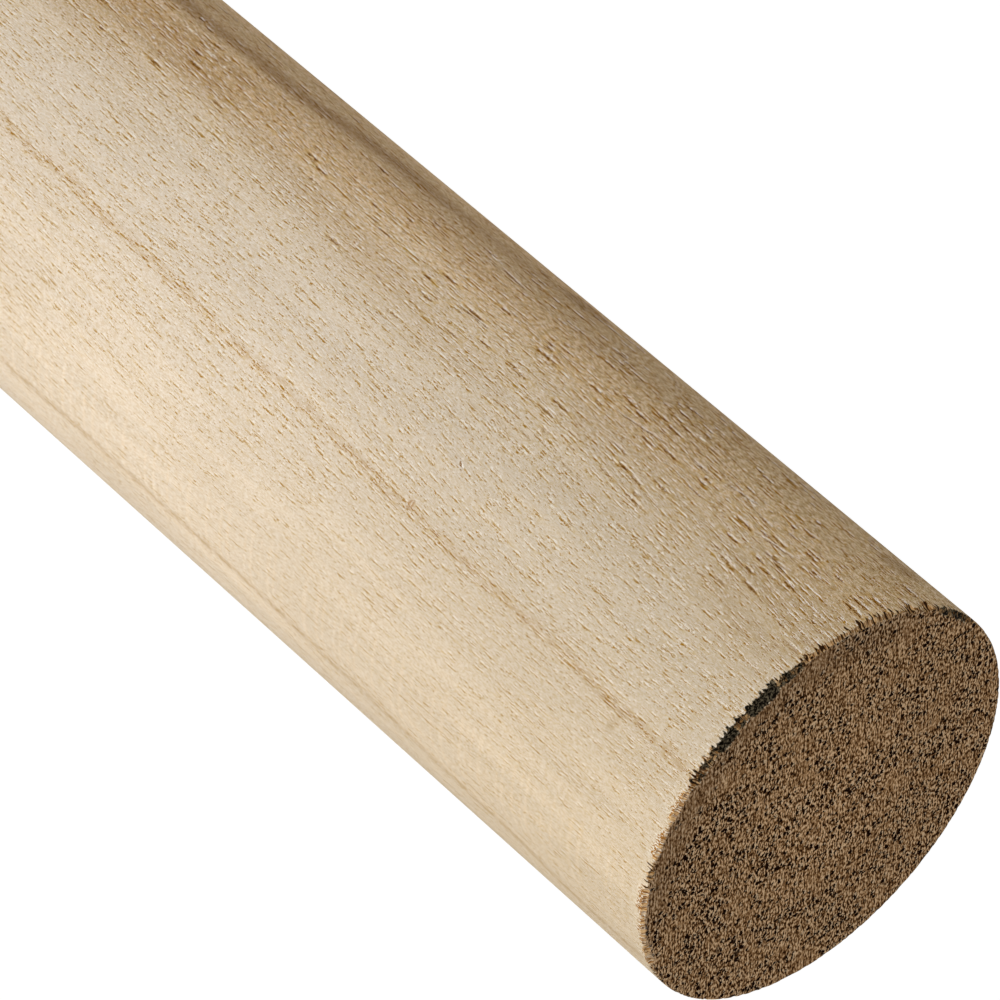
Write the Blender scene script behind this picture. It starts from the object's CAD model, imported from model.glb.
"""Looks of a round wooden dowel rod that stands on end: bare machined wood along its
side, rough end grain where it was sawn, and a rim that the saw tore and scorched."""

import math

import bpy
from mathutils import Matrix, Vector, noise


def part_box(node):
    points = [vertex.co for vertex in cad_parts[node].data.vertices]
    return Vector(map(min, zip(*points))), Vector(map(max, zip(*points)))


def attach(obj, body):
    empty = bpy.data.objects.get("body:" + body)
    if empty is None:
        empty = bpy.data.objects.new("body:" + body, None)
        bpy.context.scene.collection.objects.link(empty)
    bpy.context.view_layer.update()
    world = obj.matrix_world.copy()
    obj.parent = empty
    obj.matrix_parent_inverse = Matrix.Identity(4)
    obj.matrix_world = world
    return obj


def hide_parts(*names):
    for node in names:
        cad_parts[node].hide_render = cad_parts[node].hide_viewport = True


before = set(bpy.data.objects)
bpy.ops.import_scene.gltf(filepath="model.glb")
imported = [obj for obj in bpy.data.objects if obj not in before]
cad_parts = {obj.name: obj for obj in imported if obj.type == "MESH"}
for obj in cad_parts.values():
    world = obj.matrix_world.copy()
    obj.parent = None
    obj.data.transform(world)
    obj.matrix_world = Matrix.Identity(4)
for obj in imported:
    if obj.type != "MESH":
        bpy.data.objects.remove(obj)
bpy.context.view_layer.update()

MM = 0.001
node_low, node_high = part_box("dowel_rod")
ROD_R = (node_high.x - node_low.x) / 2
ROD_L = node_high.z - node_low.z

# ---------------------------------------------------------------- the rod's mesh

# Faces round the rod, narrow enough for single torn fibres
FACETS = 1200
# Rows of faces that run down the side from the sawn rim: their edges, in mm below it
RIM_STEP = 0.08
RIM_ROWS = 18
SIDE_ROWS = (2.0, 3.0, 4.5, 7.0, 12.0, 20.0, 35.0, 60.0, 100.0, 150.0, 200.0, 250.0, 290.0)
# Rings of faces that run in across an end from its rim, in mm
END_RINGS = (0.6, 0.9, 1.5, 2.2, 2.6, 2.6)

# What the saw tore off the rim. Each break: where its middle is, in degrees round the
# rod from -Y towards -X; half its width in degrees; how far it goes down the side and in
# across the end, in mm; how scorched it is and how pale its bared fibres are, 0 to 1
BREAKS = (
    (-72.0, 6.0, 0.05, 0.24, 0.12, 0.7),
    (-62.0, 6.0, 0.06, 0.10, 0.0, 0.8),
    (-52.0, 6.0, 0.11, 0.16, 0.0, 1.0),
    (-43.0, 1.8, 0.08, 0.24, 0.42, 0.4),
    (-34.0, 6.0, 0.06, 0.12, 0.0, 0.9),
    (-23.0, 6.0, 0.09, 0.16, 0.0, 0.8),
    (-12.0, 7.0, 0.14, 0.42, 0.42, 0.1),
    (-3.0, 5.0, 0.15, 0.60, 0.78, 0.0),
    (3.0, 4.5, 0.10, 0.40, 0.55, 0.0),
    (10.0, 7.0, 0.18, 0.70, 0.90, 0.0),
    (19.0, 6.0, 0.13, 0.40, 0.56, 0.0),
    (30.0, 9.0, 0.13, 0.14, 0.0, 0.1),
    (45.0, 9.0, 0.13, 0.14, 0.0, 0.1),
    (58.8, 1.4, 0.42, 0.14, 0.0, 0.0),
    (65.2, 2.0, 0.55, 0.16, 0.0, 0.0),
    (77.5, 10.5, 0.12, 0.30, 0.56, 0.0),
)
# Teeth between the fibres: (distance from one to the next round the rim, longest), mm
TEETH = ((0.90, 0.13), (0.40, 0.16), (0.21, 0.12))
# A tooth reaches in across the end by this share of its length down the side
TOOTH_IN = 0.6
# The torn side reaches this far to either side of -Y, and fades out over the next part
TORN_REACH, TORN_FADE = 78.0, 14.0
# What every place on the rim loses at least, down the side and in across the end, in mm
LEAST_DOWN, LEAST_IN = 0.02, 0.04
# A broken slope is hollow by this share of its shorter leg, and rough by this, in mm,
# with this many bumps to a mm
SLOPE_HOLLOW = 0.22
SLOPE_ROUGH = 0.06
SLOPE_GRAIN = 3.1
# Beyond this distance from the rim nothing is torn, in mm
RIM_ZONE = 3.0
# The unwrapped pieces lie this far apart, in mm, with the ends laid out this much larger
UV_MARGIN = 1.2
UV_END_SCALE = 1.25


def deselect():
    if bpy.context.object and bpy.context.object.mode != "OBJECT":
        bpy.ops.object.mode_set(mode="OBJECT")
    bpy.ops.object.select_all(action="DESELECT")


def select_faces(mesh_object, wanted):
    """Selects, for edit mode, the faces that wanted(face) accepts."""
    bpy.ops.object.mode_set(mode="OBJECT")
    mesh = mesh_object.data
    for face in mesh.polygons:
        face.select = wanted(face)
    for edge in mesh.edges:
        edge.select = False
    for vertex in mesh.vertices:
        vertex.select = False
    for face in mesh.polygons:
        if face.select:
            for index in face.vertices:
                mesh.vertices[index].select = True
    bpy.ops.object.mode_set(mode="EDIT")


def turned_blank():
    """The rod before it was torn, with fine rows of faces along its upper rim."""
    deselect()
    bpy.ops.mesh.primitive_cylinder_add(
        vertices=FACETS, radius=ROD_R, depth=ROD_L, end_fill_type="NGON",
        location=(0, 0, ROD_L / 2),
    )
    rod = bpy.context.object
    rod.name = rod.data.name = "turned_rod"
    bpy.ops.object.transform_apply(location=True)
    bpy.ops.object.mode_set(mode="EDIT")
    bpy.ops.mesh.select_mode(type="FACE")
    depths = [RIM_STEP * (row + 1) for row in range(RIM_ROWS)] + list(SIDE_ROWS)
    for depth in depths:
        bpy.ops.mesh.select_all(action="SELECT")
        bpy.ops.mesh.bisect(plane_co=(0, 0, ROD_L - depth * MM), plane_no=(0, 0, 1))
    for up in (1, -1):
        select_faces(rod, lambda face: face.normal.z * up > 0.5)
        steps = [RIM_STEP] * RIM_ROWS if up > 0 else []
        for step in steps + list(END_RINGS):
            bpy.ops.mesh.inset(thickness=step * MM, use_even_offset=True)
        bpy.ops.mesh.poke()
    bpy.ops.object.mode_set(mode="OBJECT")
    return rod


def hump(offset, half_width):
    """1 over the middle of a break, falling to 0 at its ends."""
    share = min(1.0, max(0.0, (1.0 - abs(offset) / half_width) * 2.0))
    return share * share * (3.0 - 2.0 * share)


def tear_at(around):
    """How far the rim is torn down and in, mm, and how scorched and how pale it is."""
    down = inward = scorch = pale = 0.0
    for middle, half_width, break_down, break_in, burnt, bared in BREAKS:
        share = hump(around - middle, half_width)
        down = max(down, break_down * share)
        inward = max(inward, break_in * share)
        scorch = max(scorch, burnt * share)
        pale = max(pale, bared * share)
    torn = min(1.0, max(0.0, (TORN_REACH + TORN_FADE - abs(around)) / TORN_FADE))
    ragged = 0.05 + 0.95 * torn
    rim_mm = math.radians(around) * ROD_R / MM
    for seed, (pitch, longest) in enumerate(TEETH):
        place = Vector((rim_mm / pitch * 2.0, 7.3 + 3.1 * seed, 0.0))
        tooth = max(0.0, noise.noise(place)) * ragged
        down += longest * tooth
        inward += TOOTH_IN * longest * tooth
    return down + LEAST_DOWN, inward + LEAST_IN, scorch, pale


def torn_place(point, down, inward, share):
    """Where a point goes that lies at this share of the way up a broken slope."""
    rough = noise.noise(point * (1.0 / MM) * SLOPE_GRAIN) * SLOPE_ROUGH
    hollow = max(0.0, SLOPE_HOLLOW * min(down, inward) * math.sin(math.pi * share) + rough)
    slope = math.hypot(down, inward)
    radius_mm = ROD_R / MM - inward * share - hollow * down / slope
    height_mm = ROD_L / MM - down * (1.0 - share) - hollow * inward / slope
    scale = radius_mm * MM / math.hypot(point.x, point.y)
    return point.x * scale, point.y * scale, height_mm * MM


def tear_rim(rod):
    """Moves the upper rim's points onto the breaks. Marks how far each point lies
    beyond the broken edge, in mm, and where the wood is scorched or its fibres bared."""
    marks = {"edge": [], "scorch": [], "bared": []}
    tears = {}
    for vertex in rod.data.vertices:
        point = vertex.co
        below = (ROD_L - point.z) / MM
        inside = (ROD_R - math.hypot(point.x, point.y)) / MM
        values = (RIM_ZONE, 0.0, 0.0)
        if below <= RIM_ZONE and inside <= RIM_ZONE:
            around = round(math.degrees(math.atan2(-point.x, -point.y)), 3)
            if around not in tears:
                tears[around] = tear_at(around)
            down, inward, scorch, pale = tears[around]
            # Along the corner's two legs, from the break's foot on the side to its head
            # on the end: points between them spread evenly over the broken slope
            along = down - below if inside < 1e-3 else down + inside
            span = down + inward
            if 0.0 < along < span:
                vertex.co = torn_place(point, down, inward, along / span)
            values = (max(-along, along - span), scorch, pale)
        for name, value in zip(marks, values):
            marks[name].append(value)
    for name, values in marks.items():
        attribute = rod.data.attributes.new(name, "FLOAT", "POINT")
        attribute.data.foreach_set("value", values)


def unwrap(rod):
    """Lays the side out as two strips and the ends as discs, so that a picture baked
    from the materials holds as much of the wood as it can."""
    layer = rod.data.uv_layers.new(name="OFBake")
    girth = 2 * math.pi * ROD_R
    half = ROD_L / 2
    margin = UV_MARGIN * MM
    disc = ROD_R * UV_END_SCALE
    side = 2 * girth + 3 * margin
    tall = half + 2 * disc + 3 * margin
    size = max(side, tall)
    for face in rod.data.polygons:
        flat = abs(face.normal.z) > 0.9 and (
            face.center.z > ROD_L - 1 * MM or face.center.z < 0.1 * MM)
        upper = face.center.z > half
        middle = math.atan2(face.center.y, face.center.x)
        for loop in face.loop_indices:
            point = rod.data.vertices[rod.data.loops[loop].vertex_index].co
            if flat:
                centre_x = margin + disc + (0 if upper else 2 * disc + margin)
                u = centre_x + point.x * disc / ROD_R
                v = half + 2 * margin + disc + point.y * disc / ROD_R
            else:
                angle = math.atan2(point.y, point.x)
                angle += 2 * math.pi * round((middle - angle) / (2 * math.pi))
                start = margin if upper else 2 * margin + girth
                u = start + (angle + math.pi) * ROD_R
                v = margin + (point.z - half if upper else point.z)
            layer.data[loop].uv = (u / size, v / size)


# ---------------------------------------------------------------- shader tools


def feed(tree, socket, value):
    """Gives a socket a constant, or links the output that feeds it."""
    if isinstance(value, bpy.types.NodeSocket):
        tree.links.new(value, socket)
    else:
        socket.default_value = value


def put(tree, kind, feeds=None, **settings):
    """Adds a shader node, with its settings and what feeds its inputs."""
    node = tree.nodes.new("ShaderNode" + kind)
    for name, value in settings.items():
        setattr(node, name, value)
    for socket, value in (feeds or {}).items():
        feed(tree, node.inputs[socket], value)
    return node


def maths(tree, operation, *values):
    return put(tree, "Math", dict(enumerate(values)), operation=operation).outputs[0]


def vector_maths(tree, operation, *values):
    node = put(tree, "VectorMath", operation=operation)
    for index, value in enumerate(values):
        name = "Scale" if operation == "SCALE" and index == 1 else index
        feed(tree, node.inputs[name], value)
    return node.outputs[0]


def step(tree, value, low, high):
    """0 below low, 1 above high and smooth between them; low may be above high."""
    node = put(tree, "MapRange", {"Value": value, "From Min": low, "From Max": high},
               interpolation_type="SMOOTHSTEP")
    return node.outputs["Result"]


def spread(tree, value, low, high):
    """Turns a noise value, mostly 0.3 to 0.7, into low to high."""
    node = put(tree, "MapRange", {"Value": value, "From Min": 0.3, "From Max": 0.7,
                                  "To Min": low, "To Max": high})
    return node.outputs["Result"]


def curve(tree, value, points):
    """Reads a hand-drawn curve through (input, output) points."""
    last = points[-1][0]
    low = min(output for _, output in points)
    high = max(output for _, output in points)
    node = put(tree, "FloatCurve", {"Value": maths(tree, "DIVIDE", value, last)})
    drawn = node.mapping.curves[0].points
    while len(drawn) < len(points):
        drawn.new(0.5, 0.5)
    for point, (place, output) in zip(drawn, points):
        point.location = (place / last, (output - low) / (high - low))
    node.mapping.update()
    return maths(tree, "MULTIPLY_ADD", node.outputs[0], high - low, low)


def mix(tree, share, first, second, blend="MIX"):
    """Mixes two colours by share."""
    node = put(tree, "Mix", {0: share, 6: first, 7: second}, data_type="RGBA",
               blend_type=blend)
    return node.outputs[2]


def shade(tree, colour, value):
    """A colour made lighter or darker by a factor."""
    grey = put(tree, "CombineColor", {"Red": value, "Green": value, "Blue": value})
    return mix(tree, 1.0, colour, grey.outputs[0], "MULTIPLY")


def group(name, inputs, outputs):
    """An empty node group with named sockets; inputs are (name, kind, value)."""
    tree = bpy.data.node_groups.new(name, "ShaderNodeTree")
    for label, kind, value in inputs:
        socket = tree.interface.new_socket(
            label, in_out="INPUT", socket_type="NodeSocket" + kind)
        socket.default_value = value
    for label, kind in outputs:
        tree.interface.new_socket(
            label, in_out="OUTPUT", socket_type="NodeSocket" + kind)
    start = tree.nodes.new("NodeGroupInput").outputs
    end = tree.nodes.new("NodeGroupOutput").inputs
    return tree, start, end


def use(tree, node_group, feeds):
    """Places a node group in a tree and returns its outputs."""
    node = tree.nodes.new("ShaderNodeGroup")
    node.node_tree = node_group
    for socket, value in feeds.items():
        feed(tree, node.inputs[socket], value)
    return node.outputs


def blank_material(name):
    material = bpy.data.materials.new(name)
    material.use_nodes = True
    material.node_tree.nodes.clear()
    return material, material.node_tree


def finish_material(tree, colour, height, roughness, depth_mm, gloss):
    """Principled wood with a relief of that depth."""
    relief = put(tree, "Bump", {"Height": height, "Distance": depth_mm * MM,
                                "Strength": 1.0})
    surface = put(tree, "BsdfPrincipled", {
        "Base Color": colour, "Roughness": roughness, "Normal": relief.outputs[0],
        "Specular IOR Level": gloss,
    })
    out = tree.nodes.new("ShaderNodeOutputMaterial")
    tree.links.new(surface.outputs[0], out.inputs["Surface"])


# ---------------------------------------------------------------- shared patterns


def make_wood_space():
    """Place in mm: Place itself; Around the rod from -Y towards -X; Below the sawn
    end; Across, which is Around with the grain's slant and wander taken out."""
    tree, start, end = group(
        "wood_space",
        [("Slant", "Float", 0.0), ("Wander", "Float", 0.0)],
        [("Place", "Vector"), ("Around", "Float"), ("Below", "Float"),
         ("Across", "Float")],
    )
    place = put(tree, "TexCoord").outputs["Object"]
    place = vector_maths(tree, "SCALE", place, 1.0 / MM)
    parts = put(tree, "SeparateXYZ", {0: place}).outputs
    minus_x = maths(tree, "MULTIPLY", parts["X"], -1.0)
    minus_y = maths(tree, "MULTIPLY", parts["Y"], -1.0)
    around = maths(tree, "ARCTAN2", minus_x, minus_y)
    around = maths(tree, "MULTIPLY", around, ROD_R / MM)
    below = maths(tree, "SUBTRACT", ROD_L / MM, parts["Z"])
    slow = vector_maths(tree, "MULTIPLY", place, (0.12, 0.12, 0.045))
    drift = put(tree, "TexNoise", {"Vector": slow, "Scale": 1.0, "Detail": 0.0})
    drift = maths(tree, "SUBTRACT", drift.outputs["Fac"], 0.5)
    across = maths(tree, "MULTIPLY_ADD", drift, start["Wander"], around)
    slant = maths(tree, "MULTIPLY", below, start["Slant"])
    feed(tree, end["Place"], place)
    feed(tree, end["Around"], around)
    feed(tree, end["Below"], below)
    feed(tree, end["Across"], maths(tree, "SUBTRACT", across, slant))
    return tree


def make_fibres():
    """Noise of a given width across the grain and length along it, in mm."""
    tree, start, end = group(
        "fibres",
        [("Across", "Float", 0.0), ("Along", "Float", 0.0), ("Width", "Float", 0.2),
         ("Length", "Float", 1.5), ("Seed", "Float", 0.0), ("Detail", "Float", 1.0)],
        [("Value", "Float")],
    )
    across = maths(tree, "DIVIDE", start["Across"], start["Width"])
    along = maths(tree, "DIVIDE", start["Along"], start["Length"])
    along = maths(tree, "ADD", along, start["Seed"])
    drawn = put(tree, "CombineXYZ", {0: across, 1: along}).outputs[0]
    fibre = put(tree, "TexNoise", {"Vector": drawn, "Scale": 1.0, "Roughness": 0.55,
                                   "Detail": start["Detail"]}, noise_dimensions="2D")
    feed(tree, end["Value"], fibre.outputs["Fac"])
    return tree


def make_dashes():
    """Lens-shaped dashes along the grain, one or none to a cell of Pitch by Run mm.
    Mask is 1 inside a dash, Beside is 1 just to its far side, and Halo fades out round
    it. A higher Core makes the dashes crisper."""
    tree, start, end = group(
        "dashes",
        [("Across", "Float", 0.0), ("Along", "Float", 0.0), ("Pitch", "Float", 0.4),
         ("Run", "Float", 1.0), ("Width", "Float", 0.1), ("Length", "Float", 0.8),
         ("Share", "Float", 0.7), ("Fray", "Float", 0.0), ("Core", "Float", 0.45)],
        [("Mask", "Float"), ("Beside", "Float"), ("Halo", "Float")],
    )
    across = maths(tree, "DIVIDE", start["Across"], start["Pitch"])
    along = maths(tree, "DIVIDE", start["Along"], start["Run"])
    spot = put(tree, "CombineXYZ", {0: across, 1: along}).outputs[0]
    cells = put(tree, "TexVoronoi", {"Vector": spot, "Scale": 1.0},
                voronoi_dimensions="2D").outputs
    offset = vector_maths(tree, "SUBTRACT", spot, cells["Position"])
    offset = put(tree, "SeparateXYZ", {0: offset}).outputs
    chance = put(tree, "SeparateColor", {0: cells["Color"]}).outputs
    # Half of a dash's width is 0.3 to 0.65 of Width, half its length 0.2 to 0.7 of Length
    width = maths(tree, "MULTIPLY", start["Width"],
                  maths(tree, "MULTIPLY_ADD", chance[0], 0.35, 0.3))
    length = maths(tree, "MULTIPLY", start["Length"],
                   maths(tree, "MULTIPLY_ADD", chance[1], 0.5, 0.2))
    off_across = maths(tree, "MULTIPLY", offset["X"], start["Pitch"])
    off_across = maths(tree, "ADD", off_across, start["Fray"])
    off_across = maths(tree, "DIVIDE", off_across, width)
    off_along = maths(tree, "MULTIPLY", offset["Y"], start["Run"])
    off_along = maths(tree, "DIVIDE", off_along, length)
    along_part = maths(tree, "MULTIPLY", off_along, off_along)
    there = step(tree, maths(tree, "SUBTRACT", chance[2],
                             maths(tree, "SUBTRACT", 1.0, start["Share"])), 0.0, 0.12)
    for name, shift in (("Mask", 0.0), ("Beside", -1.5)):
        moved = maths(tree, "ADD", off_across, shift)
        far = maths(tree, "MULTIPLY_ADD", moved, moved, along_part)
        inside = step(tree, far, 1.1, start["Core"])
        feed(tree, end[name], maths(tree, "MULTIPLY", inside, there))
    far = maths(tree, "MULTIPLY_ADD", off_across, off_across, along_part)
    halo = step(tree, far, 4.5, 0.6)
    feed(tree, end["Halo"], maths(tree, "MULTIPLY", halo, there))
    return tree


def make_grain_line():
    """A soft line along the grain: 1 on the line, 0 off it."""
    tree, start, end = group(
        "grain_line",
        [("Around", "Float", 0.0), ("Below", "Float", 0.0), ("Middle", "Float", 0.0),
         ("Width", "Float", 1.0), ("Sway", "Float", 0.0)],
        [("Mask", "Float")],
    )
    run = put(tree, "TexNoise", {"W": maths(tree, "MULTIPLY", start["Below"], 0.14),
                                 "Scale": 1.0, "Detail": 2.0}, noise_dimensions="1D")
    sway = maths(tree, "MULTIPLY", maths(tree, "SUBTRACT", run.outputs["Fac"], 0.5),
                 start["Sway"])
    off = maths(tree, "SUBTRACT", start["Around"],
                maths(tree, "ADD", start["Middle"], sway))
    share = maths(tree, "DIVIDE", maths(tree, "ABSOLUTE", off), start["Width"])
    feed(tree, end["Mask"], step(tree, share, 1.0, 0.0))
    return tree


def make_mark():
    """One placed mark, half as long and half as wide as Length and Width each way."""
    tree, start, end = group(
        "mark",
        [("Around", "Float", 0.0), ("Below", "Float", 0.0), ("At Around", "Float", 0.0),
         ("At Below", "Float", 0.0), ("Length", "Float", 1.0), ("Width", "Float", 0.1),
         ("Lean", "Float", 0.0)],
        [("Mask", "Float"), ("Beside", "Float")],
    )
    along = maths(tree, "SUBTRACT", start["Below"], start["At Below"])
    across = maths(tree, "SUBTRACT", start["Around"], start["At Around"])
    across = maths(tree, "SUBTRACT", across, maths(tree, "MULTIPLY", along, start["Lean"]))
    along = maths(tree, "DIVIDE", along, maths(tree, "MULTIPLY", start["Length"], 0.5))
    across = maths(tree, "DIVIDE", across, maths(tree, "MULTIPLY", start["Width"], 0.5))
    along = maths(tree, "MULTIPLY", along, along)
    for name, shift in (("Mask", 0.0), ("Beside", -1.6)):
        moved = maths(tree, "ADD", across, shift)
        far = maths(tree, "MULTIPLY_ADD", moved, moved, along)
        feed(tree, end[name], step(tree, far, 1.3, 0.2))
    return tree


# Colours of the torn rim
BROKEN_DARK = (0.185, 0.082, 0.026, 1.0)
BROKEN_LIGHT = (0.570, 0.340, 0.145, 1.0)
BARED_FIBRE = (0.86, 0.73, 0.56, 1.0)
SHALLOW_DARK = (0.340, 0.150, 0.035, 1.0)
SHALLOW_LIGHT = (0.680, 0.440, 0.210, 1.0)
DEEP_TEAR = (0.032, 0.012, 0.003, 1.0)
FIBRE_END = (0.90, 0.82, 0.68, 1.0)
ORANGE_FLECK = (0.330, 0.135, 0.012, 1.0)
CHAR = (0.005, 0.003, 0.001, 1.0)
ASH = (0.135, 0.108, 0.066, 1.0)


def make_torn(groups):
    """Colour of the rim where the saw tore it: brown broken fibres, pale ones where
    they are bared, black and ash-grey where they are scorched."""
    tree, start, end = group(
        "torn",
        [("Color", "Color", (0.5, 0.5, 0.5, 1.0)), ("Place", "Vector", (0, 0, 0)),
         ("Around", "Float", 0.0), ("Below", "Float", 0.0), ("Reach", "Float", 0.5)],
        [("Color", "Color")],
    )
    edge = put(tree, "Attribute", attribute_name="edge").outputs["Fac"]
    scorch = put(tree, "Attribute", attribute_name="scorch").outputs["Fac"]
    bared = put(tree, "Attribute", attribute_name="bared").outputs["Fac"]

    def teeth(width, length, seed):
        return use(tree, groups["fibres"], {
            "Across": start["Around"], "Along": start["Below"], "Width": width,
            "Length": length, "Seed": seed})["Value"]

    # Tears between the fibres, widest at the rim, run on into the sound wood
    soot = put(tree, "TexNoise", {"Vector": start["Place"], "Scale": 3.0,
                                  "Detail": 2.0, "Roughness": 0.7}).outputs["Fac"]
    slit = teeth(width=0.19, length=1.1, seed=3.0)
    reach = maths(tree, "ADD", spread(tree, slit, -1.00, 1.05),
                  spread(tree, soot, -0.20, 0.20))
    shorter = maths(tree, "MULTIPLY_ADD", bared, -0.75, 1.0)
    shorter = maths(tree, "MULTIPLY_ADD", scorch, -0.55, shorter)
    reach = maths(tree, "MULTIPLY", reach, start["Reach"])
    reach = maths(tree, "MULTIPLY", reach, shorter)
    deep = maths(tree, "SUBTRACT", reach, maths(tree, "MAXIMUM", edge, 0.0))
    tears = step(tree, deep, -0.05, 0.05)
    broken = step(tree, maths(tree, "SUBTRACT", spread(tree, soot, -0.10, 0.06), edge),
                  -0.02, 0.04)
    mask = maths(tree, "MAXIMUM", tears, broken)
    strand = teeth(width=0.075, length=0.45, seed=11.0)
    torn = mix(tree, step(tree, strand, 0.36, 0.64), BROKEN_DARK, BROKEN_LIGHT)
    pale = maths(tree, "MULTIPLY", bared, step(tree, strand, 0.34, 0.56))
    torn = mix(tree, pale, torn, BARED_FIBRE)
    # Shallow tears are orange-brown; deep ones are nearly black inside
    inner = maths(tree, "MULTIPLY_ADD", bared, -0.30, deep)
    shallow = mix(tree, step(tree, strand, 0.44, 0.56), SHALLOW_DARK, SHALLOW_LIGHT)
    tear = mix(tree, step(tree, inner, 0.02, 0.13), shallow, DEEP_TEAR)
    torn = mix(tree, tears, torn, tear)
    # Orange flecks and white fibre ends lie beyond the tears
    fleck = teeth(width=0.075, length=0.16, seed=17.0)
    far_reach = maths(tree, "MULTIPLY", start["Reach"], 2.2)
    near = maths(tree, "MULTIPLY", step(tree, edge, far_reach, -0.1),
                 maths(tree, "MULTIPLY_ADD", bared, 0.7, 0.3))
    beyond = mix(tree, maths(tree, "MULTIPLY", near, step(tree, fleck, 0.46, 0.36)),
                 start["Color"], FIBRE_END)
    beyond = mix(tree, step(tree, maths(tree, "MULTIPLY", near, fleck), 0.36, 0.44),
                 beyond, ORANGE_FLECK)
    burn = maths(tree, "ADD", scorch, spread(tree, soot, -0.34, 0.34))
    ash = put(tree, "TexNoise", {"Vector": start["Place"], "Scale": 8.0, "Detail": 1.0})
    char = mix(tree, step(tree, ash.outputs["Fac"], 0.44, 0.64), CHAR, ASH)
    torn = mix(tree, step(tree, burn, 0.28, 0.62), torn, char)
    feed(tree, end["Color"], mix(tree, mask, beyond, torn))
    return tree


# How far the longer tears run on into the sound wood, down the side and in across the
# end, in mm
SIDE_TEAR_REACH, END_TEAR_REACH = 0.46, 0.10

# ---------------------------------------------------------------- the long grain

# The grain turns round the rod by this share of its way down, and wanders by this, mm
GRAIN_SLANT, GRAIN_WANDER = 0.040, 1.5
SAPWOOD = (0.807, 0.676, 0.518, 1.0)
HEARTWOOD = (0.722, 0.540, 0.348, 1.0)

# Zones of the side, in mm round the rod from -Y towards -X: (where each is nothing,
# where it is full). The wood grows rougher towards -X, as far as the smooth back
FRONT = (34.0, 22.0)
ROUGH = (-13.0, 1.0)
ROUGHER = (2.0, 10.0)
FLANK = (9.5, 14.5)
FLANK_EDGE = (15.8, 18.0)
STREAKED = (5.0, 12.0)
CRACKED, CRACKED_BACK = (3.0, 8.0), (30.0, 24.0)
CHATTER_START, CHATTER_END = (-8.5, -10.5), (-16.5, -14.5)
HEART, HEART_BACK = (3.0, 15.0), (36.0, 26.0)
# The bows that the cutter left run straight across the grain as far as this place
CHATTER_MIDDLE = -12.6
# How light the side is, in the same mm round the rod
LIGHTNESS = ((0, 1.0), (7.5, 1.0), (10.3, 1.115), (12.3, 1.09), (13.5, 1.03),
             (15, 1.045), (16.5, 1.08), (20, 1.05), (32, 1.0), (40, 1.0))
# Zones below the sawn end, in mm, in the same terms
END_BROWN = (48.0, 0.0)
FLANK_PALE = (34.0, 4.0)
CALMING = (18.0, 42.0)
HEART_DEEPENS = (2.0, 40.0)

# Middles of the lines that follow the grain: (mm below the sawn end, mm round the rod)
TAN_LINE = ((0, -16.5), (5, -16.3), (10, -15.5), (17, -14.8), (26, -14.2), (37, -13.7),
            (60, -13.6))
# The reddish one is straight: where it starts, and how much it shifts with each mm down
RED_LINE_START, RED_LINE_SLOPE = -3.36, 0.0415
SMOKE_BAND = ((0, 17.5), (20, 16.5), (34, 15.2), (40, 14.9), (46, 14.2), (52, 13.4),
              (60, 13.1), (90, 12.0))
SMOKE_START, SMOKE_END = (22.0, 50.0), (130.0, 80.0)

# Placed marks: (degrees round from -Y, mm below the end, length, width, lean)
CRACKS = (
    (39.7, 6.3, 1.9, 0.15, 0.02),
    (43.3, 7.3, 2.8, 0.15, -0.12),
    (50.0, 11.3, 2.6, 0.13, -0.12),
    (48.0, 14.2, 1.7, 0.16, 0.05),
    (45.3, 18.0, 3.4, 0.13, -0.15),
    (35.5, 17.6, 1.5, 0.14, 0.05),
    (37.6, 30.0, 2.8, 0.12, -0.02),
    (58.5, 32.0, 2.4, 0.18, 0.10),
    (64.0, 24.4, 1.5, 0.22, 0.0),
    (5.3, 22.9, 0.6, 0.12, 0.55),
)
# Lifted fibres, bleached pale
SLIVERS = (
    (57.0, 16.3, 0.9, 0.20, 0.0),
    (60.6, 33.9, 1.1, 0.24, 0.05),
    (48.6, 54.4, 1.3, 0.15, -0.12),
    (49.4, 55.9, 0.9, 0.16, -0.05),
    (51.5, 58.4, 1.5, 0.15, -0.02),
)
FAINT_STAINS = ((28.0, 3.0, 12.0, 9.0, 0.0), (-17.8, 6.0, 0.8, 1.5, 0.0))
STRONG_STAINS = ((44.0, 57.0, 18.0, 3.6, -0.05),)
SMUDGES = ((74.0, 4.0, 3.0, 2.6, 0.0), (76.0, 29.5, 4.0, 2.4, 0.0))
# A small scar, shaped like a ring
SCAR = ((-9.8, 23.8, 0.46, 0.56, 0.0),)
SCAR_HOLE = ((-9.8, 23.8, 0.20, 0.32, 0.0),)


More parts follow.
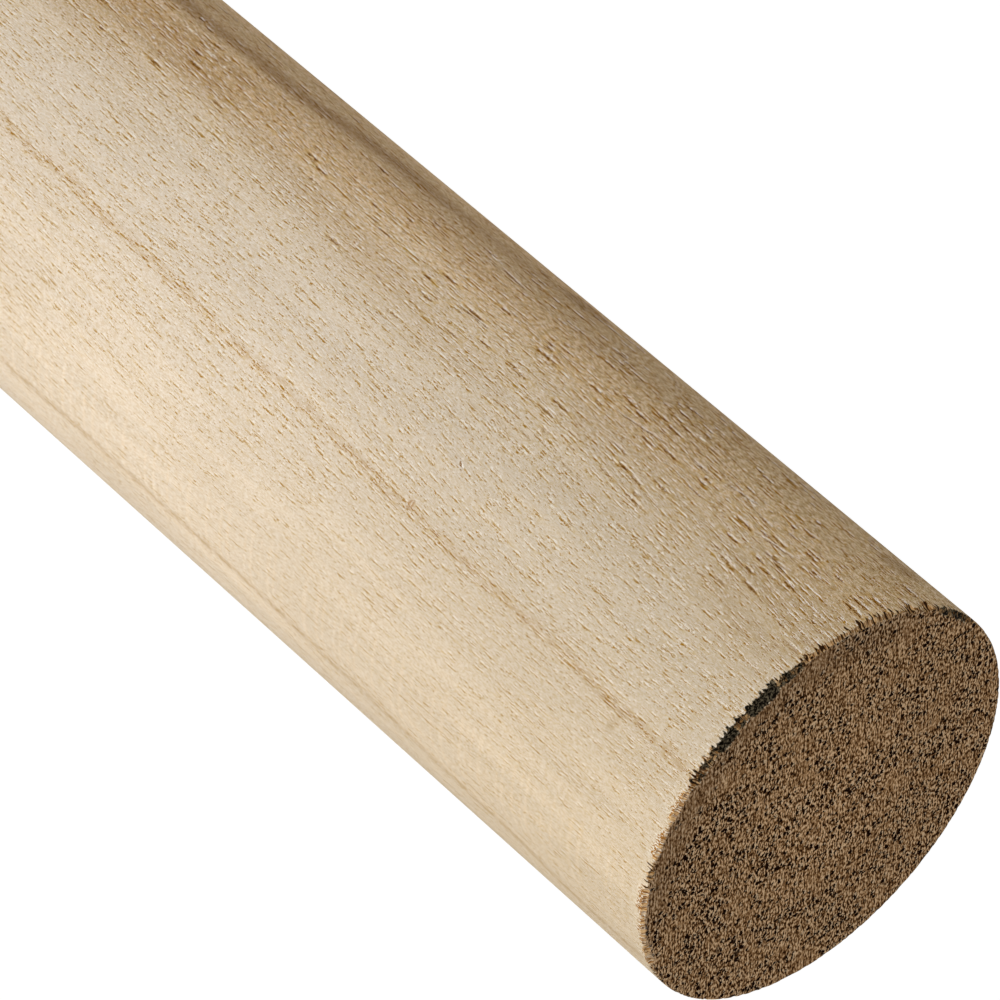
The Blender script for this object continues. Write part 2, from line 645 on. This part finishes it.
class Side:
    """The side's shader tree: places on the rod in mm, zones and shared patterns."""

    def __init__(self, tree, groups):
        self.tree = tree
        self.groups = groups
        space = use(tree, groups["space"], {"Slant": GRAIN_SLANT, "Wander": GRAIN_WANDER})
        self.place, self.around = space["Place"], space["Around"]
        self.below, self.across = space["Below"], space["Across"]
        self.front = step(tree, self.around, *FRONT)
        self.rough = self.zone(ROUGH)
        self.rougher = self.zone(ROUGHER)
        self.flank = self.zone(FLANK)
        # Towards the far end the rough side calms down
        self.calm = maths(tree, "MULTIPLY_ADD", step(tree, self.below, *CALMING),
                          -0.65, 1.0)
        # Slow patches, rows along the grain, and its fine fibres
        self.cloud = put(tree, "TexNoise", {
            "Vector": vector_maths(tree, "MULTIPLY", self.place, (0.30, 0.30, 0.06)),
            "Scale": 1.0, "Detail": 2.0}).outputs["Fac"]
        self.row = self.fibres(width=0.8, length=10.0, seed=5.0, detail=2.0)
        fine = self.fibres(width=0.085, length=0.36, seed=9.0)
        grit = put(tree, "TexNoise", {"Vector": self.place, "Scale": 12.0, "Detail": 0.0})
        self.grain = maths(tree, "ADD", maths(tree, "MULTIPLY", fine, 0.6),
                           maths(tree, "MULTIPLY", grit.outputs["Fac"], 0.4))
        self.fray = spread(tree, self.grain, -0.045, 0.045)
        self.specks = step(tree, self.fibres(width=0.35, length=0.9, seed=23.0),
                           0.40, 0.66)

    def zone(self, limits):
        """A zone of the side that ends where the smooth back starts."""
        return maths(self.tree, "MULTIPLY", step(self.tree, self.around, *limits),
                     self.front)

    def fibres(self, width, length, seed, detail=1.0):
        return use(self.tree, self.groups["fibres"], {
            "Across": self.across, "Along": self.below, "Width": width,
            "Length": length, "Seed": seed, "Detail": detail})["Value"]

    def dashes(self, pitch, run, width, length, share, fray):
        return use(self.tree, self.groups["dashes"], {
            "Across": self.across, "Along": self.below, "Pitch": pitch, "Run": run,
            "Width": width, "Length": length, "Share": share, "Fray": fray})

    def line(self, middle, width, sway):
        return use(self.tree, self.groups["line"], {
            "Around": self.around, "Below": self.below, "Middle": middle,
            "Width": width, "Sway": sway})["Mask"]

    def marks(self, rows, where, output="Mask"):
        """The strongest of several placed marks."""
        whole = None
        for degrees, at_below, length, width, lean in rows:
            one = use(self.tree, self.groups["mark"], {
                "Around": where, "Below": self.below, "Length": length, "Width": width,
                "At Around": math.radians(degrees) * ROD_R / MM, "At Below": at_below,
                "Lean": lean})[output]
            whole = maths(self.tree, "MAXIMUM", whole, one) if whole else one
        return whole

    def tint(self, colour, share, factors, most=1.0):
        """Multiplies a colour by up to these factors."""
        share = maths(self.tree, "MULTIPLY", share, most) if most != 1.0 else share
        return mix(self.tree, share, colour, factors + (1.0,), "MULTIPLY")


def broad_colour(side):
    """Cream sapwood, tan heartwood on one side, browner by the sawn end."""
    tree, around, below = side.tree, side.around, side.below
    heart_place = maths(tree, "ADD", around, spread(tree, side.cloud, -3.0, 3.0))
    heart = maths(tree, "MULTIPLY", step(tree, heart_place, *HEART),
                  step(tree, heart_place, *HEART_BACK))
    heart = maths(tree, "MULTIPLY", heart,
                  maths(tree, "MULTIPLY_ADD", step(tree, below, *HEART_DEEPENS),
                        0.55, 0.45))
    colour = mix(tree, heart, SAPWOOD, HEARTWOOD)
    colour = side.tint(colour, step(tree, below, *END_BROWN), (0.84, 0.82, 0.76))
    colour = side.tint(colour, side.rough, (0.92, 0.94, 0.98))
    colour = side.tint(colour, side.rougher, (1.03, 0.99, 0.90))
    colour = side.tint(colour, side.flank, (0.89, 0.90, 0.92))
    paler = maths(tree, "MULTIPLY", step(tree, below, *FLANK_PALE), side.flank)
    paler = maths(tree, "MAXIMUM", paler, side.zone(FLANK_EDGE))
    colour = shade(tree, colour, maths(tree, "MULTIPLY_ADD", paler, 0.22, 1.0))
    return shade(tree, colour, curve(tree, around, LIGHTNESS))


def fine_grain(side, colour):
    """Streaks in rows, and fibres that stand out more on the rough side."""
    tree = side.tree
    streak = maths(tree, "ADD", maths(tree, "MULTIPLY", side.row, 0.6),
                   maths(tree, "MULTIPLY", side.cloud, 0.6))
    colour = shade(tree, colour, spread(tree, streak, 1.07, 0.95))
    grained = maths(tree, "MULTIPLY_ADD", side.rougher, 0.45, 0.45)
    speck = mix(tree, step(tree, side.grain, 0.40, 0.60), (1.06, 1.10, 1.20, 1.0),
                (0.82, 0.71, 0.50, 1.0))
    colour = mix(tree, grained, colour, speck, "MULTIPLY")
    coarser = maths(tree, "MULTIPLY", step(tree, side.grain, 0.50, 0.60),
                    maths(tree, "MULTIPLY", side.flank, side.calm))
    return side.tint(colour, coarser, (0.76, 0.67, 0.46))


def red_line(side):
    middle = maths(side.tree, "MULTIPLY_ADD", side.below, RED_LINE_SLOPE, RED_LINE_START)
    return side.line(middle, width=0.55, sway=0.9)


def grain_lines(side, colour, red):
    """A tan line, the reddish one and a smoky band along the grain, and stains."""
    tree, below = side.tree, side.below
    tan = side.line(curve(tree, below, TAN_LINE), width=0.50, sway=0.5)
    tan = maths(tree, "MULTIPLY", tan,
                maths(tree, "MULTIPLY_ADD", side.specks, 0.6, 0.4))
    colour = side.tint(colour, tan, (0.72, 0.60, 0.42), 0.75)
    redder = maths(tree, "MULTIPLY", red,
                   maths(tree, "MULTIPLY_ADD", side.specks, 0.45, 0.12))
    colour = side.tint(colour, redder, (0.74, 0.59, 0.38))
    smoke = side.line(curve(tree, below, SMOKE_BAND), width=1.5, sway=0.7)
    smoke = maths(tree, "MULTIPLY", smoke,
                  maths(tree, "MULTIPLY", step(tree, below, *SMOKE_START),
                        step(tree, below, *SMOKE_END)))
    colour = side.tint(colour, smoke, (0.56, 0.47, 0.36), 0.80)
    faint = maths(tree, "MULTIPLY", side.marks(FAINT_STAINS, side.around), 0.40)
    strong = maths(tree, "MULTIPLY", 0.7, side.marks(STRONG_STAINS, side.around))
    stains = maths(tree, "MAXIMUM", faint, strong)
    patchy = maths(tree, "MULTIPLY_ADD", side.specks, 0.45,
                   spread(tree, side.row, 0.2, 0.8))
    return side.tint(colour, maths(tree, "MULTIPLY", stains, patchy), (0.68, 0.56, 0.35))


def open_pores(side, colour, red):
    """Short dashes, crowded along some rows: a dark core with a golden rim, and a
    gleam on the far side."""
    tree = side.tree
    crowd = maths(tree, "MULTIPLY_ADD", red, 0.80, spread(tree, side.row, -0.20, 0.30))
    share = maths(tree, "ADD", crowd,
                  maths(tree, "MULTIPLY_ADD", side.rough, 0.28, 0.40))
    share = maths(tree, "MULTIPLY_ADD", side.flank, -0.38, share)
    wide = maths(tree, "MULTIPLY_ADD", side.rougher, 0.022, 0.072)
    wide = maths(tree, "MULTIPLY_ADD", side.flank, 0.050, wide)
    pores = side.dashes(pitch=0.34, run=1.00, width=wide, length=0.95, share=share,
                        fray=side.fray)
    long = side.dashes(pitch=0.50, run=2.4, width=maths(tree, "MULTIPLY", wide, 0.85),
                       length=2.0, share=maths(tree, "MULTIPLY", share, 0.55),
                       fray=maths(tree, "MULTIPLY", side.fray, 1.7))
    small = side.dashes(pitch=0.17, run=0.42, width=0.056, length=0.36,
                        share=maths(tree, "ADD", share, 0.15), fray=side.fray)
    dark = maths(tree, "MAXIMUM", pores["Mask"],
                 maths(tree, "MULTIPLY", small["Mask"], 0.75))
    dark = maths(tree, "MAXIMUM", dark, long["Mask"])
    dark = maths(tree, "MULTIPLY", dark, spread(tree, side.grain, 0.10, 1.35))
    beside = maths(tree, "MAXIMUM", pores["Beside"],
                   maths(tree, "MULTIPLY", small["Beside"], 0.7))
    beside = maths(tree, "MAXIMUM", beside, long["Beside"])
    ink = maths(tree, "MULTIPLY_ADD", side.rough, 0.28, 0.62)
    ink = maths(tree, "MULTIPLY_ADD", side.rougher, 0.60, ink)
    ink = maths(tree, "MULTIPLY_ADD", red, 0.40, ink)
    gleam = maths(tree, "MULTIPLY_ADD", side.rough, 0.20, 0.26)
    gleam = maths(tree, "MULTIPLY_ADD", side.rougher, 0.36, gleam)
    gleam = maths(tree, "MULTIPLY_ADD", side.flank, -0.62, gleam)
    halo = maths(tree, "MAXIMUM", pores["Halo"], long["Halo"])
    halo = maths(tree, "MULTIPLY", halo,
                 maths(tree, "MULTIPLY_ADD", side.flank, -0.6, 0.85))
    colour = side.tint(colour, maths(tree, "MULTIPLY", halo, ink), (0.95, 0.87, 0.66))
    colour = mix(tree, maths(tree, "MULTIPLY", beside, gleam), colour,
                 (1.0, 0.97, 0.93, 1.0))
    return side.tint(colour, maths(tree, "MULTIPLY", dark, ink), (0.56, 0.35, 0.02))


def brown_streaks(side, colour):
    """Short streaks towards -X."""
    tree = side.tree
    flecks = side.fibres(width=0.26, length=0.48, seed=41.0, detail=2.0)
    flecks = maths(tree, "MULTIPLY", step(tree, flecks, 0.46, 0.60), side.zone(STREAKED))
    flecks = maths(tree, "MULTIPLY", flecks,
                   maths(tree, "MULTIPLY_ADD", side.calm, 0.6, 0.4))
    return side.tint(colour, flecks, (0.78, 0.73, 0.61))


def cracks_and_slivers(side, colour, frayed):
    """Placed cracks and lifted fibres, and more cracks at random on the rough side."""
    tree = side.tree
    more = side.dashes(pitch=0.90, run=1.6, width=0.19, length=1.30,
                       share=maths(tree, "MULTIPLY", side.calm, 0.55),
                       fray=maths(tree, "MULTIPLY", side.fray, 2.0))
    rough_side = maths(tree, "MULTIPLY", step(tree, side.around, *CRACKED),
                       step(tree, side.around, *CRACKED_BACK))
    crack = maths(tree, "MAXIMUM", side.marks(CRACKS, frayed),
                  maths(tree, "MULTIPLY", more["Mask"], rough_side))
    crack = maths(tree, "MULTIPLY", crack, step(tree, side.grain, 0.36, 0.50))
    lifted = maths(tree, "MAXIMUM", side.marks(CRACKS, frayed, "Beside"),
                   maths(tree, "MULTIPLY", more["Beside"], rough_side))
    lifted = maths(tree, "MULTIPLY", lifted, step(tree, side.grain, 0.40, 0.54))
    sliver = maths(tree, "MULTIPLY", side.marks(SLIVERS, frayed),
                   step(tree, side.grain, 0.62, 0.42))
    haze = maths(tree, "MULTIPLY", more["Halo"], rough_side)
    colour = side.tint(colour, haze, (0.90, 0.78, 0.50))
    colour = mix(tree, maths(tree, "MULTIPLY", lifted, 0.75), colour,
                 (1.0, 0.96, 0.90, 1.0))
    colour = mix(tree, sliver, colour, (1.0, 0.95, 0.84, 1.0))
    return side.tint(colour, crack, (0.36, 0.19, 0.01))


def smudges_and_scar(side, colour, frayed):
    colour = side.tint(colour, side.marks(SMUDGES, side.around), (0.60, 0.52, 0.42), 0.60)
    ring = maths(side.tree, "SUBTRACT", side.marks(SCAR, frayed),
                 side.marks(SCAR_HOLE, frayed))
    ring = maths(side.tree, "MAXIMUM", ring, 0.0)
    return side.tint(colour, ring, (0.60, 0.36, 0.13), 0.75)


def cutter_chatter(side, colour):
    """Faint bows across the grain on the smooth side, left by the rounding cutter."""
    tree = side.tree
    bend = maths(tree, "SUBTRACT", CHATTER_MIDDLE, side.around)
    bend = maths(tree, "MAXIMUM", bend, 0.0)
    turn = maths(tree, "MULTIPLY_ADD", maths(tree, "MULTIPLY", bend, bend), 0.27,
                 side.below)
    chatter = put(tree, "TexNoise", {"W": maths(tree, "MULTIPLY", turn, 2.6),
                                     "Scale": 1.0, "Detail": 1.0},
                  noise_dimensions="1D").outputs["Fac"]
    chatter = maths(tree, "MULTIPLY", step(tree, chatter, 0.50, 0.66),
                    maths(tree, "MULTIPLY", step(tree, side.around, *CHATTER_START),
                          step(tree, side.around, *CHATTER_END)))
    return shade(tree, colour, maths(tree, "MULTIPLY_ADD", chatter, 0.05, 1.0))


def side_wood(groups, name, by_the_rim):
    """Long grain as the rounding cutter left it."""
    material, tree = blank_material(name)
    side = Side(tree, groups)
    red = red_line(side)
    frayed = maths(tree, "MULTIPLY_ADD", side.fray, 2.4, side.around)
    colour = broad_colour(side)
    colour = fine_grain(side, colour)
    colour = grain_lines(side, colour, red)
    colour = open_pores(side, colour, red)
    colour = brown_streaks(side, colour)
    colour = cracks_and_slivers(side, colour, frayed)
    colour = smudges_and_scar(side, colour, frayed)
    colour = cutter_chatter(side, colour)
    if by_the_rim:
        colour = use(tree, groups["torn"], {
            "Color": colour, "Place": side.place, "Around": side.around,
            "Below": side.below, "Reach": SIDE_TEAR_REACH})["Color"]
    height = maths(tree, "MULTIPLY", side.grain,
                   maths(tree, "MULTIPLY_ADD", side.rougher, 0.9, 1.6))
    finish_material(tree, colour, height, roughness=0.75, depth_mm=0.030, gloss=0.05)
    return material


# ---------------------------------------------------------------- the sawn ends

# Direction of the saw's scratches across the end, anticlockwise from +X
SCRATCH_ANGLE = math.radians(58.3)
# From the bottoms of the pits to the tips of the tufts
END_TONES = (
    (0.30, (0.040, 0.012, 0.002)),
    (0.43, (0.188, 0.086, 0.028)),
    (0.50, (0.354, 0.185, 0.077)),
    (0.58, (0.566, 0.328, 0.154)),
    (0.69, (0.930, 0.630, 0.365)),
)
PORE_DARK = (0.010, 0.002, 0.0003, 1.0)
PORE_EDGE = (0.950, 0.690, 0.430, 1.0)
# The saw wore a band along the rim smooth where it came out: (where it starts, where it
# is full), in mm from the rod's middle and then in mm along Y
WORN_OUT, WORN_FRONT = (9.2, 11.4), (-3.0, -8.0)
WORN_TINT = (0.80, 0.82, 0.86, 1.0)
# The middle of the end is lighter, in mm from the rod's middle
LIGHT_MIDDLE = (8.5, 3.0)


def end_wood(groups, name, by_the_rim):
    """Sawn end grain: open pores, combed by the saw's teeth."""
    material, tree = blank_material(name)
    space = use(tree, groups["space"], {"Slant": 0.0, "Wander": 0.0})
    place = space["Place"]
    flat = vector_maths(tree, "MULTIPLY", place, (1.0, 1.0, 0.0))
    combed = put(tree, "VectorRotate", {"Vector": flat, "Angle": -SCRATCH_ANGLE},
                 rotation_type="Z_AXIS").outputs[0]
    parts = put(tree, "SeparateXYZ", {0: combed}).outputs

    def comb(width, length, seed):
        return use(tree, groups["fibres"], {
            "Across": parts["Y"], "Along": parts["X"], "Width": width,
            "Length": length, "Seed": seed, "Detail": 1.0})["Value"]

    out = put(tree, "VectorMath", {0: flat}, operation="LENGTH").outputs["Value"]
    along_y = put(tree, "SeparateXYZ", {0: flat}).outputs["Y"]
    worn = maths(tree, "MULTIPLY", step(tree, out, *WORN_OUT),
                 step(tree, along_y, *WORN_FRONT))
    # Rough patches, where the tufts stand out and pores are open, between smoother ones
    cloud = put(tree, "TexNoise", {"Vector": flat, "Scale": 0.34, "Detail": 2.0})
    cloud = maths(tree, "MULTIPLY_ADD", worn, -0.17, cloud.outputs["Fac"])
    rough = spread(tree, cloud, 0.65, 2.00)
    scratch = comb(width=0.12, length=1.6, seed=4.0)
    tuft = comb(width=0.105, length=0.26, seed=8.0)
    tone = maths(tree, "MULTIPLY", maths(tree, "SUBTRACT", tuft, 0.5), rough)
    tone = maths(tree, "MULTIPLY_ADD", maths(tree, "SUBTRACT", scratch, 0.5), 0.50, tone)
    tone = maths(tree, "MULTIPLY_ADD", maths(tree, "SUBTRACT", cloud, 0.5), -0.12, tone)
    ramp = put(tree, "ValToRGB", {"Fac": maths(tree, "ADD", tone, 0.5)})
    stops = ramp.color_ramp.elements
    while len(stops) < len(END_TONES):
        stops.new(0.5)
    for stop, (position, shade_of_brown) in zip(stops, END_TONES):
        stop.position = position
        stop.color = shade_of_brown + (1.0,)
    fray = spread(tree, comb(width=0.16, length=0.16, seed=31.0), -0.07, 0.07)
    pores = use(tree, groups["dashes"], {
        "Across": parts["Y"], "Along": parts["X"], "Pitch": 0.32, "Run": 0.38,
        "Width": 0.23, "Length": 0.31, "Core": 0.70, "Fray": fray,
        "Share": spread(tree, cloud, 0.04, 0.88)})
    colour = mix(tree, maths(tree, "MULTIPLY", pores["Beside"], 0.75),
                 ramp.outputs["Color"], PORE_EDGE)
    colour = mix(tree, pores["Mask"], colour, PORE_DARK)
    colour = mix(tree, worn, colour, WORN_TINT, "MULTIPLY")
    middle = step(tree, out, *LIGHT_MIDDLE)
    colour = shade(tree, colour, maths(tree, "MULTIPLY_ADD", middle, 0.09, 1.0))
    if by_the_rim:
        colour = use(tree, groups["torn"], {
            "Color": colour, "Place": place, "Around": space["Around"],
            "Below": space["Below"], "Reach": END_TEAR_REACH})["Color"]
    height = maths(tree, "MULTIPLY_ADD", pores["Mask"], -0.8, tuft)
    finish_material(tree, colour, height, roughness=0.9, depth_mm=0.06, gloss=0.01)
    return material


# ---------------------------------------------------------------- the finished rod


def make_rod():
    rod = turned_blank()
    tear_rim(rod)
    unwrap(rod)
    groups = {"space": make_wood_space(), "fibres": make_fibres(),
              "dashes": make_dashes(), "line": make_grain_line(), "mark": make_mark()}
    groups["torn"] = make_torn(groups)
    for wood, name in ((side_wood, "long_grain"), (end_wood, "sawn_end")):
        rod.data.materials.append(wood(groups, name, False))
        rod.data.materials.append(wood(groups, name + "_by_the_rim", True))
    for face in rod.data.polygons:
        middle = face.center
        below = (ROD_L - middle.z) / MM
        inside = (ROD_R - math.hypot(middle.x, middle.y)) / MM
        on_end = abs(face.normal.z) > 0.9 and (
            below < RIM_ZONE or below > ROD_L / MM - 0.02)
        by_the_rim = below < RIM_ZONE and inside < RIM_ZONE
        face.material_index = 2 * on_end + by_the_rim
    deselect()
    rod.select_set(True)
    bpy.context.view_layer.objects.active = rod
    bpy.ops.object.shade_smooth_by_angle(angle=math.radians(35))
    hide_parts("dowel_rod")
    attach(rod, "root")
    return rod


# ---------------------------------------------------------------- studio

CAMERA_PLACE = (0.0, -0.31883, 0.47326)
# From straight down: how far the camera is tilted up, turned about Z, and rolled
CAMERA_TILT, CAMERA_TURN, CAMERA_ROLL = 57.80, 0.20, 130.62
CAMERA_LENS = 249.16
CAMERA_SHIFT = (0.0003, 0.0003)

FLOOR_SIZE = 30.0
FLOOR_GREY = 0.82
# The camera sees the floor whitened by this near the rod, and by this much more past
# the lamps, over a stretch in metres
FLOOR_GLOW, FAR_GLOW = 0.61, 0.20
FAR_STRETCH = (0.6, 1.4)
# Three wide soft lamps: degrees round from -Y towards -X, and power
LAMPS = (("left_lamp", -88.0, 8.9), ("front_lamp", -8.0, 14.6), ("back_lamp", 140.0, 4.5))
LAMP_FAR, LAMP_HEIGHT = 1.4, 0.38
LAMP_WIDE, LAMP_TALL = 1.95, 0.80
# The lamps aim at this share of the rod's height
LAMP_AIM = 0.8
SKY_STRENGTH = 0.31


def make_camera():
    data = bpy.data.cameras.new("camera")
    data.lens = CAMERA_LENS
    data.shift_x, data.shift_y = CAMERA_SHIFT
    data.clip_start, data.clip_end = 0.01, 100.0
    camera = bpy.data.objects.new("camera", data)
    bpy.context.scene.collection.objects.link(camera)
    turn = Matrix.Rotation(math.radians(CAMERA_TURN), 4, "Z")
    tilt = Matrix.Rotation(math.radians(CAMERA_TILT), 4, "X")
    roll = Matrix.Rotation(math.radians(CAMERA_ROLL), 4, "Z")
    camera.matrix_world = Matrix.Translation(CAMERA_PLACE) @ turn @ tilt @ roll
    bpy.context.scene.camera = camera


def make_floor():
    deselect()
    bpy.ops.mesh.primitive_plane_add(size=FLOOR_SIZE, location=(0, 0, 0))
    floor = bpy.context.object
    floor.name = "floor"
    material, tree = blank_material("pale_floor")
    seen = put(tree, "LightPath").outputs["Is Camera Ray"]
    grey = (FLOOR_GREY, FLOOR_GREY, FLOOR_GREY, 1.0)
    paint = put(tree, "BsdfDiffuse", {"Color": grey})
    place = put(tree, "TexCoord").outputs["Object"]
    away = put(tree, "VectorMath", {0: place}, operation="LENGTH").outputs["Value"]
    level = maths(tree, "MULTIPLY_ADD", step(tree, away, *FAR_STRETCH), FAR_GLOW,
                  FLOOR_GLOW)
    glow = put(tree, "Emission", {"Color": (1, 1, 1, 1), "Strength": level})
    both = put(tree, "AddShader", {0: paint.outputs[0], 1: glow.outputs[0]})
    shader = put(tree, "MixShader", {0: seen, 1: paint.outputs[0], 2: both.outputs[0]})
    out = tree.nodes.new("ShaderNodeOutputMaterial")
    tree.links.new(shader.outputs[0], out.inputs["Surface"])
    floor.data.materials.append(material)


def make_sky():
    world = bpy.data.worlds.new("sky")
    bpy.context.scene.world = world
    world.use_nodes = True
    tree = world.node_tree
    tree.nodes.clear()
    seen = put(tree, "LightPath").outputs["Is Camera Ray"]
    soft = put(tree, "Background", {"Color": (1, 1, 1, 1), "Strength": SKY_STRENGTH})
    white = put(tree, "Background", {"Color": (1, 1, 1, 1), "Strength": 1.0})
    shader = put(tree, "MixShader", {0: seen, 1: soft.outputs[0], 2: white.outputs[0]})
    out = tree.nodes.new("ShaderNodeOutputWorld")
    tree.links.new(shader.outputs[0], out.inputs["Surface"])


def make_lamp(name, around, power):
    """A wide soft lamp that faces the rod's upper half."""
    data = bpy.data.lights.new(name, "AREA")
    data.shape, data.size, data.size_y = "RECTANGLE", LAMP_WIDE, LAMP_TALL
    data.energy = power
    lamp = bpy.data.objects.new(name, data)
    bpy.context.scene.collection.objects.link(lamp)
    angle = math.radians(around)
    lamp.location = (-math.sin(angle) * LAMP_FAR, -math.cos(angle) * LAMP_FAR, LAMP_HEIGHT)
    aim = Vector((0, 0, ROD_L * LAMP_AIM)) - lamp.location
    lamp.rotation_euler = aim.to_track_quat("-Z", "Y").to_euler()
    lamp.visible_camera = False


make_camera()
make_rod()
make_floor()
make_sky()
for lamp_name, lamp_around, lamp_power in LAMPS:
    make_lamp(lamp_name, lamp_around, lamp_power)
bpy.context.scene.view_settings.view_transform = "Standard"
